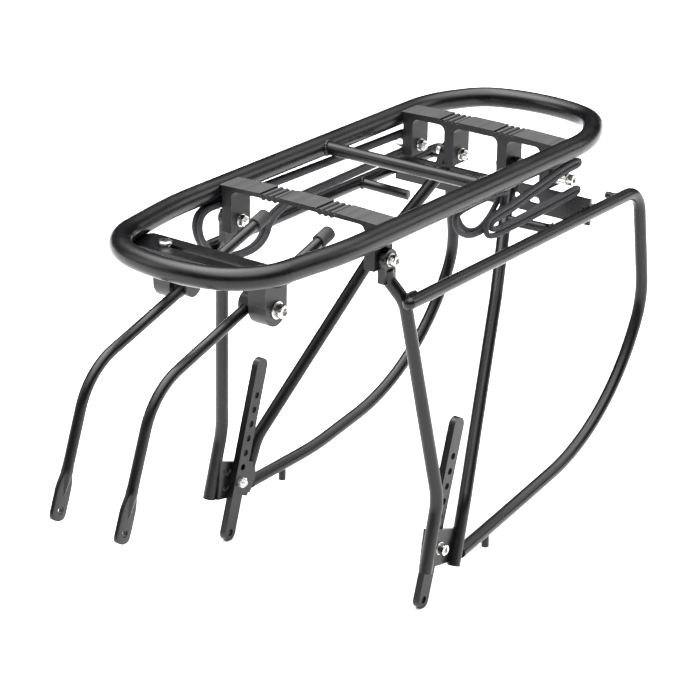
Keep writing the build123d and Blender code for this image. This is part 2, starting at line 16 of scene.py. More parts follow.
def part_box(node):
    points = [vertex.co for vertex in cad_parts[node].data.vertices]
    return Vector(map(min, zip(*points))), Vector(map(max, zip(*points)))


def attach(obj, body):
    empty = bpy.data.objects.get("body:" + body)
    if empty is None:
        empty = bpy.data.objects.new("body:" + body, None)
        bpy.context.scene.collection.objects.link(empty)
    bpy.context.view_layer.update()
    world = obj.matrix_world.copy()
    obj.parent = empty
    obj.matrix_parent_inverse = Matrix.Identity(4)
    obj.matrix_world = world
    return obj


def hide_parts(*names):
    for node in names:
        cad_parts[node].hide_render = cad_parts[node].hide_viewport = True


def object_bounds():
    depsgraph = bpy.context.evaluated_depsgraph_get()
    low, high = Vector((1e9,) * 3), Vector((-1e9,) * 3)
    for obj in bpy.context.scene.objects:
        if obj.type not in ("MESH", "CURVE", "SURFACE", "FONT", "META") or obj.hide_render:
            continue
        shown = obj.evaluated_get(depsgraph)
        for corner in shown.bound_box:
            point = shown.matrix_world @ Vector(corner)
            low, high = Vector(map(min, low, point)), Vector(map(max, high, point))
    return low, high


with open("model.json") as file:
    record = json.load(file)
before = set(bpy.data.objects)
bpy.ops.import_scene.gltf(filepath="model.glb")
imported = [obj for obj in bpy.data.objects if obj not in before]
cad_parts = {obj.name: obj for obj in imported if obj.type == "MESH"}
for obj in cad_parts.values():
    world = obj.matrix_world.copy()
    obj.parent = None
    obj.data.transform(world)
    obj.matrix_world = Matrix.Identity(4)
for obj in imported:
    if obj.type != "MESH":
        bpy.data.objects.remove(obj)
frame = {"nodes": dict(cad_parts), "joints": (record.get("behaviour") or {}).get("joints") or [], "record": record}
cad_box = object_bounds()
scene = bpy.context.scene
print("pieces from CAD:", len(frame["nodes"]))

# %% [markdown]
# The deck is the natural place to measure from. The crossbar is the zero along the rack and the
# middle plane of the deck ring is the zero in height, so `at(x, y, z)` takes millimetres from there.
# Both come from the record's mounts and from the ring's own box.

# %% Where things are
MM = 0.001
mounts = {m["name"]: m for m in frame["record"]["mounts"]}
joints = {j["name"]: j for j in frame["joints"]}
ring_low, ring_high = (np.array(c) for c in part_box("deck_ring"))
RING_R = (ring_high[2] - ring_low[2]) / 2 / MM
RING_HALF = ring_high[1] / MM - RING_R
FRONT_SLAT_X = -119.5
REAR_SLAT_X = 108.0
BOLT_Z = -22.5
crossbar_x = mounts["front_pad"]["pos_m"][0] - FRONT_SLAT_X * MM
DATUM = np.array([crossbar_x, 0.0, (ring_low[2] + ring_high[2]) / 2])
RAIL_R = 5.0
RAIL_Y, RAIL_Z = RING_HALF + 15.0, -51.0


def at(x, y, z):
    """A place in metres, from millimetres behind the crossbar, to the right and above the ring's plane."""
    return DATUM + np.array([x, y, z], float) * MM


print("crossbar at", DATUM.round(4), "ring tube", round(2 * RING_R, 2), "mm")

# %% [markdown]
# ## Surfaces on a grid
# A tube, a bolt, a nut and a cord are all the same thing: rows of rings. Each row is a closed ring
# of points and the rows follow each other along the piece. If the rows and rings are numpy arrays,
# one index formula joins them with four-cornered faces, with no loop over the points.


# %% Grid of rings to faces
def shell(points, loop=False, uv=None):
    """Faces over rows of closed rings, an array of (rows, ring, 3).

    Corner (i, j) joins (i + 1, j), (i + 1, j + 1) and (i, j + 1), where j runs round the ring and
    starts again. With loop the last row joins the first; without it each end gets a middle point."""
    rows, ring = points.shape[:2]
    i, j = np.meshgrid(np.arange(rows if loop else rows - 1), np.arange(ring), indexing="ij")
    i2, j2 = (i + 1) % rows, (j + 1) % ring
    quads = np.stack([i * ring + j, i2 * ring + j, i2 * ring + j2, i * ring + j2], -1).reshape(-1, 4)
    verts = points.reshape(-1, 3)
    tris = np.zeros((0, 3), int)
    if not loop:
        k = np.arange(ring)
        first = np.stack([np.full(ring, len(verts)), k, (k + 1) % ring], -1)
        last = np.stack([np.full(ring, len(verts) + 1), (rows - 1) * ring + (k + 1) % ring,
                         (rows - 1) * ring + k], -1)
        tris = np.concatenate([first, last])
        verts = np.concatenate([verts, points[:1].mean(1), points[-1:].mean(1)])
    corners = None
    if uv is not None:
        corners = np.stack([np.stack([j / ring * uv[0], i / rows * uv[1]], -1),
                            np.stack([j / ring * uv[0], (i + 1) / rows * uv[1]], -1),
                            np.stack([(j + 1) / ring * uv[0], (i + 1) / rows * uv[1]], -1),
                            np.stack([(j + 1) / ring * uv[0], i / rows * uv[1]], -1)], 2).reshape(-1, 4, 2)
    a, b, c, d = (verts[quads[:, q]] for q in range(4))
    volume = np.einsum("ij,ij->", a, np.cross(b, c)) + np.einsum("ij,ij->", a, np.cross(c, d))
    if len(tris):
        a, b, c = (verts[tris[:, q]] for q in range(3))
        volume += np.einsum("ij,ij->", a, np.cross(b, c))
    if volume < 0:
        quads, tris = quads[:, ::-1], tris[:, ::-1]
        corners = None if corners is None else corners[:, ::-1]
    return verts, quads, tris, corners


def piece(name, shells, material, body, stands_for=(), crease=35):
    """One object from one or more shells, smooth except where faces meet at more than crease degrees."""
    start = np.cumsum([0] + [len(s[0]) for s in shells])
    verts = np.concatenate([s[0] for s in shells])
    quads = np.concatenate([s[1] + k for s, k in zip(shells, start)])
    tris = np.concatenate([s[2] + k for s, k in zip(shells, start)])
    mesh = bpy.data.meshes.new(name)
    mesh.from_pydata(verts.tolist(), [], quads.tolist() + tris.tolist())
    if shells[0][3] is not None:
        flat = np.concatenate([s[3].reshape(-1, 2) for s in shells] + [np.zeros((len(tris) * 3, 2))])
        mesh.uv_layers.new(name="along").data.foreach_set("uv", flat.astype(np.float32).ravel())
    mesh.shade_smooth()
    mesh.set_sharp_from_angle(angle=radians(crease))
    return dress(bpy.data.objects.new(name, mesh), material, body, stands_for)


def dress(piece_object, material, body, stands_for=()):
    """Puts a new piece in the scene with its finish, its body and the CAD nodes that it stands for."""
    scene.collection.objects.link(piece_object)
    piece_object.data.materials.clear()
    piece_object.data.materials.append(material)
    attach(piece_object, body)
    if stands_for:
        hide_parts(*stands_for)
    return piece_object


# %% [markdown]
# A tube needs a path and a direction that the path never points along. The cross product of the
# path's direction with that reference gives one axis across the tube, and a second cross product
# gives the other. A ring is then centre + radius (cos a * first + sin a * second).


# %% Tubes along a path
def unit(v):
    return v / np.linalg.norm(v, axis=-1, keepdims=True)


def across(path, reference, loop=False):
    """Two unit axes across a path at each of its points."""
    ahead = np.roll(path, -1, 0) - np.roll(path, 1, 0) if loop else np.gradient(path, axis=0)
    aim = unit(ahead)
    first = unit(np.cross(aim, np.asarray(reference, float)))
    return first, np.cross(aim, first)


def tube(path, radius, reference, sides=20, loop=False, uv=None):
    """Rings of one radius, or of one radius for each row, round a path."""
    first, second = across(path, reference, loop)
    turn = np.arange(sides) / sides * 2 * pi
    r = np.broadcast_to(np.asarray(radius, float).reshape(-1, 1, 1), (len(path), 1, 1))
    ring = np.cos(turn)[None, :, None] * first[:, None] + np.sin(turn)[None, :, None] * second[:, None]
    return shell(path[:, None] + r * ring, loop, uv)


def smooth_line(points, loop, count):
    """Evenly spaced points on the NURBS curve of order 3 that has these control points."""
    curve = bpy.data.curves.new("line", "CURVE")
    curve.dimensions = "3D"
    spline = curve.splines.new("NURBS")
    spline.points.add(len(points) - 1)
    spline.points.foreach_set("co", np.c_[points, np.ones(len(points))].astype(np.float32).ravel())
    spline.use_cyclic_u = loop
    spline.order_u = 3
    spline.use_endpoint_u = not loop
    spline.resolution_u = 24
    holder = bpy.data.objects.new("line", curve)
    mesh = bpy.data.meshes.new_from_object(holder)
    line = np.empty(len(mesh.vertices) * 3, np.float32)
    mesh.vertices.foreach_get("co", line)
    line = line.reshape(-1, 3).astype(float)
    bpy.data.objects.remove(holder)
    bpy.data.curves.remove(curve)
    bpy.data.meshes.remove(mesh)
    if loop:
        line = np.vstack([line, line[:1]])
    run = np.r_[0, np.cumsum(np.linalg.norm(np.diff(line, axis=0), axis=1))]
    want = np.linspace(0, run[-1], count + 1 if loop else count)
    even = np.stack([np.interp(want, run, line[:, k]) for k in range(3)], -1)
    return (even[:-1] if loop else even), run[-1]


# %% [markdown]
# ## Shared effects
# Five effects are node groups with their own inputs: the fine grain of a powder coat, fine tool
# lines in metal, a little rubbing along edges, a trace of dust on upward faces and a braid. A
# group only puts out heights and masks. The shader itself stays in the material.


# %% Node helpers
def node(tree, kind, links=None, **settings):
    """Adds a node, sets its properties, and links or fills the named inputs."""
    made = tree.nodes.new(kind)
    for key, value in settings.items():
        setattr(made, key, value)
    for key, value in (links or {}).items():
        if isinstance(value, bpy.types.NodeSocket):
            tree.links.new(value, made.inputs[key])
        else:
            made.inputs[key].default_value = value
    return made


def maths(tree, operation, a, b=0.0, clamp=False):
    return node(tree, "ShaderNodeMath", {0: a, 1: b}, operation=operation, use_clamp=clamp).outputs[0]


def noise(tree, where, scale, detail=2.0, rough=0.5):
    return node(tree, "ShaderNodeTexNoise", {"Vector": where, "Scale": scale, "Detail": detail,
                                             "Roughness": rough}).outputs["Fac"]


def spread(tree, value, low, high, to_low=0.0, to_high=1.0):
    """Maps low..high to to_low..to_high, and no further."""
    return node(tree, "ShaderNodeMapRange", {"Value": value, "From Min": low, "From Max": high,
                                             "To Min": to_low, "To Max": to_high}).outputs["Result"]


def upward(tree):
    """The height part of the surface's normal: 1 where it looks straight up."""
    facing = node(tree, "ShaderNodeNewGeometry").outputs["Normal"]
    return node(tree, "ShaderNodeSeparateXYZ", {0: facing}).outputs["Z"]


def blend_colour(tree, share, a, b):
    mix = node(tree, "ShaderNodeMix", data_type="RGBA")
    for socket, value in ((mix.inputs["Factor"], share), (mix.inputs[6], a), (mix.inputs[7], b)):
        if isinstance(value, bpy.types.NodeSocket):
            tree.links.new(value, socket)
        else:
            socket.default_value = value
    return mix.outputs[2]


def effect(name, inputs, outputs):
    """An empty node group with float or vector inputs and float outputs."""
    group = bpy.data.node_groups.new(name, "ShaderNodeTree")
    for label, value in inputs.items():
        kind = "NodeSocketVector" if isinstance(value, tuple) else "NodeSocketFloat"
        socket = group.interface.new_socket(name=label, in_out="INPUT", socket_type=kind)
        socket.default_value = value
    for label in outputs:
        group.interface.new_socket(name=label, in_out="OUTPUT", socket_type="NodeSocketFloat")
    return group, group.nodes.new("NodeGroupInput").outputs, group.nodes.new("NodeGroupOutput").inputs


def use(tree, group, **values):
    """Places a group in a material with its own values; an underscore stands for a space."""
    named = {k.replace("_", " "): v for k, v in values.items()}
    return node(tree, "ShaderNodeGroup", named, node_tree=group).outputs


# %% [markdown]
# ### Coat grain
# Powder coat flows into a faint orange peel about half a millimetre across, with slower drifts in
# gloss. Height is the peel, Gloss and Tone are slow clouds.

# %% Coat grain
coat_grain, g_in, g_out = effect("coat grain", {"Where": (0.0, 0.0, 0.0), "Peel": 1900.0, "Cloud": 60.0},
                                 ["Height", "Tone", "Gloss"])
tree = coat_grain
peel = noise(tree, g_in["Where"], g_in["Peel"], 2.0)
fleck = noise(tree, g_in["Where"], maths(tree, "MULTIPLY", g_in["Peel"], 2.7), 1.0)
fleck_share = maths(tree, "MULTIPLY", fleck, 0.25)
tree.links.new(maths(tree, "ADD", maths(tree, "MULTIPLY", peel, 0.75), fleck_share), g_out["Height"])
tree.links.new(spread(tree, noise(tree, g_in["Where"], g_in["Cloud"], 4.0), 0.3, 0.7), g_out["Tone"])
tree.links.new(spread(tree, noise(tree, g_in["Where"], maths(tree, "MULTIPLY", g_in["Cloud"], 0.4), 3.0),
                      0.3, 0.7), g_out["Gloss"])

# %% [markdown]
# ### Tool lines
# Drawn, sawn or turned metal has fine lines one way. Noise on coordinates that are squeezed along
# the other two axes makes them: Stretch says how many lines there are per metre along each axis.

# %% Tool lines
tool_lines, g_in, g_out = effect(
    "tool lines", {"Where": (0.0, 0.0, 0.0), "Stretch": (40.0, 3000.0, 3000.0)}, ["Height", "Tone"])
tree = tool_lines
squeezed = node(tree, "ShaderNodeVectorMath", {0: g_in["Where"], 1: g_in["Stretch"]},
                operation="MULTIPLY").outputs[0]
fine = noise(tree, squeezed, 1.0, 3.0, 0.6)
coarse = noise(tree, squeezed, 0.21, 2.0, 0.5)
tree.links.new(maths(tree, "ADD", maths(tree, "MULTIPLY", fine, 0.6), maths(tree, "MULTIPLY", coarse, 0.4)),
               g_out["Height"])
tree.links.new(spread(tree, coarse, 0.3, 0.7), g_out["Tone"])

# %% [markdown]
# ### Rubbed edges
# The Bevel node gives the normal that a rounded edge would have. Where that differs from the true
# normal there is an edge, and noise breaks the rub into small patches.

# %% Rubbed edges
edge_rub, g_in, g_out = effect(
    "rubbed edges", {"Where": (0.0, 0.0, 0.0), "Patch": 350.0, "Amount": 0.5}, ["Mask"])
tree = edge_rub
rounded = node(tree, "ShaderNodeBevel", {"Radius": 0.0005}, samples=4).outputs[0]
facing = node(tree, "ShaderNodeNewGeometry").outputs["Normal"]
agree = node(tree, "ShaderNodeVectorMath", {0: rounded, 1: facing},
             operation="DOT_PRODUCT").outputs["Value"]
edge = spread(tree, maths(tree, "SUBTRACT", 1.0, agree), 0.02, 0.22)
patch = spread(tree, noise(tree, g_in["Where"], g_in["Patch"], 3.0, 0.6), 0.42, 0.66)
rubbed = maths(tree, "MULTIPLY", edge, patch)
tree.links.new(maths(tree, "MULTIPLY", rubbed, g_in["Amount"], True), g_out["Mask"])

# %% [markdown]
# ### Dust
# A trace of dust settles where the surface looks up.

# %% Dust
settled, g_in, g_out = effect(
    "settled dust", {"Where": (0.0, 0.0, 0.0), "Speck": 900.0, "Amount": 0.1}, ["Mask"])
tree = settled
up = upward(tree)
specks = spread(tree, noise(tree, g_in["Where"], g_in["Speck"], 3.0, 0.7), 0.48, 0.75)
drift = spread(tree, noise(tree, g_in["Where"], 25.0, 3.0), 0.35, 0.7)
dusty = maths(tree, "MULTIPLY", spread(tree, up, 0.35, 0.95), maths(tree, "MULTIPLY", specks, drift))
tree.links.new(maths(tree, "MULTIPLY", dusty, g_in["Amount"], True), g_out["Mask"])

# %% [markdown]
# ### Braid
# A braided sleeve is two families of yarns that climb round the cord in opposite directions and
# pass over and under each other. With u round the cord and v along it, the yarns follow
# n * (u + v) and n * (u - v); each is a half circle across its own width, and the whole-number
# parts of the two say which one lies on top.

# %% Braid
braid, g_in, g_out = effect("braid", {"Around": (0.0, 0.0, 0.0), "Yarns": 10.0}, ["Height", "Tone"])
tree = braid
flat = node(tree, "ShaderNodeSeparateXYZ", {0: g_in["Around"]}).outputs
climb = maths(tree, "MULTIPLY", maths(tree, "ADD", flat["X"], flat["Y"]), g_in["Yarns"])
fall = maths(tree, "MULTIPLY", maths(tree, "SUBTRACT", flat["X"], flat["Y"]), g_in["Yarns"])


def yarn(position):
    middle = maths(tree, "SUBTRACT", maths(tree, "FRACT", position), 0.5)
    squared = maths(tree, "MULTIPLY", middle, middle)
    hump = maths(tree, "SUBTRACT", 1.0, maths(tree, "MULTIPLY", squared, 3.6))
    return maths(tree, "SQRT", maths(tree, "MAXIMUM", hump, 0.0))


whole = maths(tree, "ADD", maths(tree, "FLOOR", climb), maths(tree, "FLOOR", fall))
over = maths(tree, "FRACT", maths(tree, "MULTIPLY", whole, 0.5))
climbing, falling = yarn(climb), yarn(fall)
step = maths(tree, "GREATER_THAN", over, 0.25)
shown = maths(tree, "ADD", maths(tree, "MULTIPLY", climbing, step),
              maths(tree, "MULTIPLY", falling, maths(tree, "SUBTRACT", 1.0, step)))
tree.links.new(shown, g_out["Height"])
# The Tone output is painted shade: darker in the gaps between the yarns, lighter where they stand up
tree.links.new(spread(tree, shown, 0.3, 1.0, 0.25, 1.0), g_out["Tone"])
print("shared effects:", len(bpy.data.node_groups))

# %% [markdown]
# ## Finishes
# Each finish is a function that starts a material with an Object coordinate and a Principled
# shader. Fixed numbers go straight on the shader's sockets; only what changes over the surface is
# linked: the base colour, the roughness and the normal.


# %% Start a finish
def finish(name, colour, **fixed):
    """A material with its shader, and the coordinates that its patterns read."""
    material = bpy.data.materials.new(name)
    material.use_nodes = True
    tree = material.node_tree
    shader = tree.nodes["Principled BSDF"]
    shader.inputs["Base Color"].default_value = (*colour, 1)
    material.diffuse_color = (*colour, 1)
    for label, value in fixed.items():
        shader.inputs[label.replace("_", " ")].default_value = value
    where = node(tree, "ShaderNodeTexCoord").outputs["Object"]
    return material, tree, shader, where


def raise_surface(tree, shader, height, depth):
    """Bump of the given depth in metres."""
    bump = node(tree, "ShaderNodeBump", {"Height": height, "Distance": depth, "Strength": 1.0})
    tree.links.new(bump.outputs["Normal"], shader.inputs["Normal"])


# %% [markdown]
# ### Satin powder coat
# The frame is nearly black, with a soft broad sheen. Its gloss drifts a little over the length of a
# tube, corners are rubbed slightly greyer, and a trace of dust lies on the upward sides.

# %% Powder coat
powder_coat, tree, shader, where = finish("powder coat", (0.005, 0.005, 0.0055), Specular_IOR_Level=0.3)
grain = use(tree, coat_grain, Where=where)
rub = use(tree, edge_rub, Where=where, Amount=0.35)["Mask"]
dust = use(tree, settled, Where=where, Amount=0.16)["Mask"]
base = blend_colour(tree, grain["Tone"], (0.0022, 0.0022, 0.0027, 1), (0.0042, 0.0040, 0.0046, 1))
base = blend_colour(tree, rub, base, (0.09, 0.09, 0.092, 1))
tree.links.new(blend_colour(tree, dust, base, (0.2, 0.19, 0.18, 1)), shader.inputs["Base Color"])
gloss = spread(tree, grain["Gloss"], 0, 1, 0.24, 0.32)
tree.links.new(maths(tree, "ADD", gloss, maths(tree, "MULTIPLY", dust, 0.5)), shader.inputs["Roughness"])
raise_surface(tree, shader, grain["Height"], 0.00002)

# %% [markdown]
# ### Sawn and anodised slats
# The slats are cut from an extruded bar and dyed dark grey. Die lines run along the bicycle. The
# upward pads are painted lighter than the sides: painted light on top and painted shade on the sides.

# %% Slat finish
slat_grey, tree, shader, where = finish("anodised slat", (0.10, 0.10, 0.102), Metallic=0.5,
                                        Specular_IOR_Level=0.35)
lines = use(tree, tool_lines, Where=where, Stretch=(60.0, 4200.0, 2600.0))
rub = use(tree, edge_rub, Where=where, Patch=500.0, Amount=0.55)["Mask"]
dust = use(tree, settled, Where=where, Amount=0.12)["Mask"]
up = upward(tree)
# painted light: this share grows where the face looks up and picks the lighter colour
lit_top_share = spread(tree, up, 0.75, 0.97)
# side is the painted shade colour of the sides, top the painted light colour of the upward faces
side = blend_colour(tree, lines["Tone"], (0.010, 0.010, 0.011, 1), (0.018, 0.018, 0.019, 1))
top = blend_colour(tree, lines["Tone"], (0.060, 0.060, 0.061, 1), (0.085, 0.085, 0.086, 1))
base = blend_colour(tree, rub, blend_colour(tree, lit_top_share, side, top), (0.32, 0.32, 0.32, 1))
tree.links.new(blend_colour(tree, dust, base, (0.3, 0.29, 0.28, 1)), shader.inputs["Base Color"])
tree.links.new(spread(tree, lines["Tone"], 0, 1, 0.40, 0.52), shader.inputs["Roughness"])
raise_surface(tree, shader, lines["Height"], 0.00004)

# %% [markdown]
# ### Black anodised clamps
# The clamp blocks are sawn from bar across the bicycle, so their lines run the other way and their
# faces keep a darker, smoother sheen.

# %% Clamp finish
clamp_black, tree, shader, where = finish("anodised clamp", (0.04, 0.04, 0.042), Metallic=0.45)
lines = use(tree, tool_lines, Where=where, Stretch=(3200.0, 80.0, 3200.0))
rub = use(tree, edge_rub, Where=where, Patch=420.0, Amount=0.6)["Mask"]
base = blend_colour(tree, lines["Tone"], (0.016, 0.016, 0.017, 1), (0.030, 0.030, 0.031, 1))
tree.links.new(blend_colour(tree, rub, base, (0.3, 0.3, 0.3, 1)), shader.inputs["Base Color"])
tree.links.new(spread(tree, lines["Tone"], 0, 1, 0.36, 0.5), shader.inputs["Roughness"])
raise_surface(tree, shader, lines["Height"], 0.00003)

# %% [markdown]
# ### Bright zinc
# Screws, nuts and washers are zinc plated: bright, faintly warm, with fine turning lines and a
# little dulling in patches.

# %% Zinc finish
zinc, tree, shader, where = finish("bright zinc", (0.72, 0.71, 0.69), Metallic=1.0)
lines = use(tree, tool_lines, Where=where, Stretch=(1500.0, 9000.0, 1500.0))
cloud = use(tree, coat_grain, Where=where, Peel=1200.0, Cloud=320.0)
base = blend_colour(tree, cloud["Tone"], (0.38, 0.375, 0.36, 1), (0.62, 0.61, 0.59, 1))
tree.links.new(blend_colour(tree, maths(tree, "MULTIPLY", lines["Tone"], 0.3), base, (0.9, 0.89, 0.87, 1)),
               shader.inputs["Base Color"])
tree.links.new(spread(tree, cloud["Gloss"], 0, 1, 0.18, 0.34), shader.inputs["Roughness"])
raise_surface(tree, shader, lines["Height"], 0.00003)

# %% [markdown]
# ### Braided cord
# The elastic cords wear a fine braid, dark, with a slight purple grey sheen from the shader. Their colour is
# painted darker in the gaps between the yarns and lighter where the yarns stand up: painted shade. The pattern
# follows the piece's own UV map, whose unit is once round the cord.

# %% Cord finish
cord_braid, tree, shader, where = finish("braided cord", (0.03, 0.028, 0.034), Roughness=0.62,
                                         Sheen_Weight=0.12, Sheen_Roughness=0.45, Specular_IOR_Level=0.3)
shader.inputs["Sheen Tint"].default_value = (0.85, 0.82, 0.95, 1)
around = node(tree, "ShaderNodeUVMap", uv_map="along").outputs["UV"]
woven = use(tree, braid, Around=around, Yarns=10.0)
fuzz = noise(tree, where, 2600.0, 3.0, 0.7)
wear = spread(tree, noise(tree, where, 90.0, 3.0), 0.35, 0.7)
# painted shade: the yarn colour is darker in the gaps between yarns and lighter where they stand up
yarn_colour_painted_shade = blend_colour(tree, woven["Tone"], (0.0025, 0.0025, 0.003, 1), (0.022, 0.021, 0.024, 1))
worn = blend_colour(tree, maths(tree, "MULTIPLY", wear, 0.35), yarn_colour_painted_shade, (0.032, 0.031, 0.035, 1))
tree.links.new(worn, shader.inputs["Base Color"])
tree.links.new(spread(tree, fuzz, 0.3, 0.7, 0.55, 0.75), shader.inputs["Roughness"])
weave = maths(tree, "ADD", woven["Height"], maths(tree, "MULTIPLY", fuzz, 0.25))
raise_surface(tree, shader, weave, 0.00025)

# %% [markdown]
# ### Soft caps
# The stays end in moulded soft caps: matt, with a fine spark-eroded texture.

# %% Cap finish
cap_soft, tree, shader, where = finish("soft cap", (0.02, 0.02, 0.02), Specular_IOR_Level=0.4)
grain = use(tree, coat_grain, Where=where, Peel=2600.0, Cloud=140.0)
dust = use(tree, settled, Where=where, Amount=0.2)["Mask"]
base = blend_colour(tree, grain["Tone"], (0.016, 0.016, 0.016, 1), (0.03, 0.03, 0.031, 1))
tree.links.new(blend_colour(tree, dust, base, (0.2, 0.19, 0.18, 1)), shader.inputs["Base Color"])
tree.links.new(spread(tree, grain["Height"], 0.3, 0.7, 0.58, 0.75), shader.inputs["Roughness"])
raise_surface(tree, shader, grain["Height"], 0.00008)

finishes = {"frame_coat": powder_coat, "slat_anodised": slat_grey, "clamp_anodised": clamp_black,
            "zinc": zinc, "cord": cord_braid, "cap_rubber": cap_soft}

# %% [markdown]
# ## Metal from CAD
# Tubes and plates keep their CAD shape. First every node gets its finish by material slot. Then the
# flat and sawn pieces get a twin with its points merged, so that a real Bevel can break their
# sharp edges, since no plate leaves a factory with a knife edge.

# %% Finish the CAD nodes
slot_of = {part["node"]: part["material_slot"] for part in frame["record"]["subparts"]}
body_of = {n: b for b, members in frame["record"]["behaviour"]["bodies"].items() for n in members}
for name, made in frame["nodes"].items():
    for k in range(len(made.data.materials)):
        made.data.materials[k] = finishes[slot_of[name]]


def broken_edges(name, width):
    """A twin of a CAD node, merged, with its sharp edges rounded by width metres."""
    work = bmesh.new()
    work.from_mesh(frame["nodes"][name].data)
    bmesh.ops.remove_doubles(work, verts=work.verts, dist=2e-6)
    bmesh.ops.dissolve_limit(work, angle_limit=radians(0.5), verts=work.verts, edges=work.edges)
    mesh = bpy.data.meshes.new(name + "_finished")
    work.to_mesh(mesh)
    work.free()
    mesh.shade_smooth()
    mesh.set_sharp_from_angle(angle=radians(32))
    twin = bpy.data.objects.new(name + "_finished", mesh)
    dress(twin, finishes[slot_of[name]], body_of[name], [name])
    edge = twin.modifiers.new("broken edges", "BEVEL")
    edge.width = width
    edge.segments = 2
    edge.limit_method = "ANGLE"
    edge.angle_limit = radians(40)
    edge.harden_normals = True
    edge.use_clamp_overlap = True
    return twin


for name, width in {"front_slat": 0.35, "rear_slat": 0.35, "slot_plate": 0.5, "lamp_plate": 0.4,
                    "foot_right": 0.5, "foot_left": 0.5, "clamp_block_right": 0.5,
                    "clamp_block_left": 0.5, "clamp_barrel_right": 0.5, "clamp_barrel_left": 0.5}.items():
    broken_edges(name, width * MM)
print("finished from CAD:", len(frame["nodes"]))

# %% [markdown]
# ## Turned and hexagonal parts
# A screw or nut is rows of rings round an axis. The radius of a ring is a circle, a hexagon or
# something between. A hexagon of apothem p has radius p / cos(a), where a is the angle from the
# middle of its nearest side, so one formula gives the hex socket, the nut and its chamfer.

# %% Rings round an axis
SIDES = 72
ANGLE = np.arange(SIDES) / SIDES * 2 * pi
HEX = 1 / np.cos((ANGLE + pi / 6) % (pi / 3) - pi / 6)


def turned(rows, centre, out, loop=False):
    """rows holds (height, radius) pairs, where each may be one number or an array round the ring.

    The ring's point is centre + height * axis + radius (cos a * X + sin a * Z), in millimetres,
    for an axis along Y that points to the right (out 1) or the left (out -1)."""
    height = np.stack([np.broadcast_to(np.asarray(h, float), SIDES) for h, r in rows]) * MM
    radius = np.stack([np.broadcast_to(np.asarray(r, float), SIDES) for h, r in rows]) * MM
    points = np.stack([radius * np.cos(ANGLE), out * height, radius * np.sin(ANGLE)], -1)
    return shell(np.asarray(centre) + points, loop)


def thread(radius, pitch, start, end):
    """Rows of a thread: the radius dips by a triangle wave of height over pitch minus turn."""
    heights = np.arange(start, end, pitch / 6)
    wave = (heights[:, None] / pitch - ANGLE[None] / (2 * pi)) % 1.0
    return [(h, radius - 0.28 + 0.56 * np.abs(w - 0.5)) for h, w in zip(heights, wave)]


def socket_screw(centre, out, length, radius=2.5, head=4.25, tall=5.0, key=4.0):
    """A knurled cap head with a hex socket, its shank and a threaded tip; centre is under the head."""
    knurl = 0.09 * np.abs(np.sin(ANGLE * 18))
    hexagon = key / 2 * HEX
    rows = [(-length, radius * 0.55), (-length, radius * 0.72)]
    rows += thread(radius, 0.8, -length + 0.3, -length + 4.6)
    rows += [(-length + 4.8, radius), (-0.02, radius), (0.0, radius + 0.05), (0.0, head - 0.25)]
    rows += [(0.08, head - 0.08), (0.25, head - 0.04)]
    rows += [(h, head - knurl) for h in (0.35, tall * 0.45, tall - 1.05)]
    rows += [(tall - 0.9, head - 0.05), (tall - 0.45, head - 0.1), (tall - 0.16, head - 0.32)]
    rows += [(tall - 0.02, head - 0.62), (tall, head - 0.85)]
    rows += [(tall, key / 2 * 1.2), (tall - 0.04, key / 2 * 1.17)]
    rows += [(tall - 0.32, hexagon), (tall - 2.6, hexagon), (tall - 2.7, hexagon * 0.96), (tall - 3.1, 0.3)]
    return turned(rows, centre, out)


def hex_nut(centre, out, across=8.0, tall=4.0, bore=2.52):
    """A nut whose corners are cut by a 30 degree cone; centre is on its seat."""
    hexagon = across / 2 * HEX
    rim = across / 2 * 0.985
    fall = np.maximum(hexagon - rim, 0) * tan(radians(30))
    rows = [(0.0, bore + 0.35), (0.0, rim), (0.02 + fall, hexagon), (tall - 0.55 - fall, hexagon)]
    rows += [(tall - 0.53, rim), (tall - 0.5, bore + 0.95), (tall - 0.12, bore + 0.85), (tall, bore + 0.6)]
    rows += [(tall, bore + 0.25), (tall - 0.25, bore), (0.3, bore)]
    return turned(rows, centre, out, loop=True)


def plain_washer(centre, out, outer=5.0, thick=1.0, bore=2.52):
    """A stamped washer: one face's edge is rolled over, the other keeps a small burr radius."""
    rows = [(0.0, bore + 0.1), (0.0, outer - 0.12), (0.05, outer - 0.03), (0.14, outer)]
    rows += [(thick - 0.35, outer), (thick - 0.16, outer - 0.06)]
    rows += [(thick - 0.04, outer - 0.2), (thick, outer - 0.4)]
    rows += [(thick, bore + 0.25), (thick - 0.06, bore + 0.1), (thick - 0.2, bore), (0.12, bore)]
    return turned(rows, centre, out, loop=True)


# %% [markdown]
# ### Deck and foot screws
# Screws go in from outside and their nuts sit on the inner faces. Where each one sits comes from
# the faces it clamps: the ring's half width less its tube and the leg's thickness.

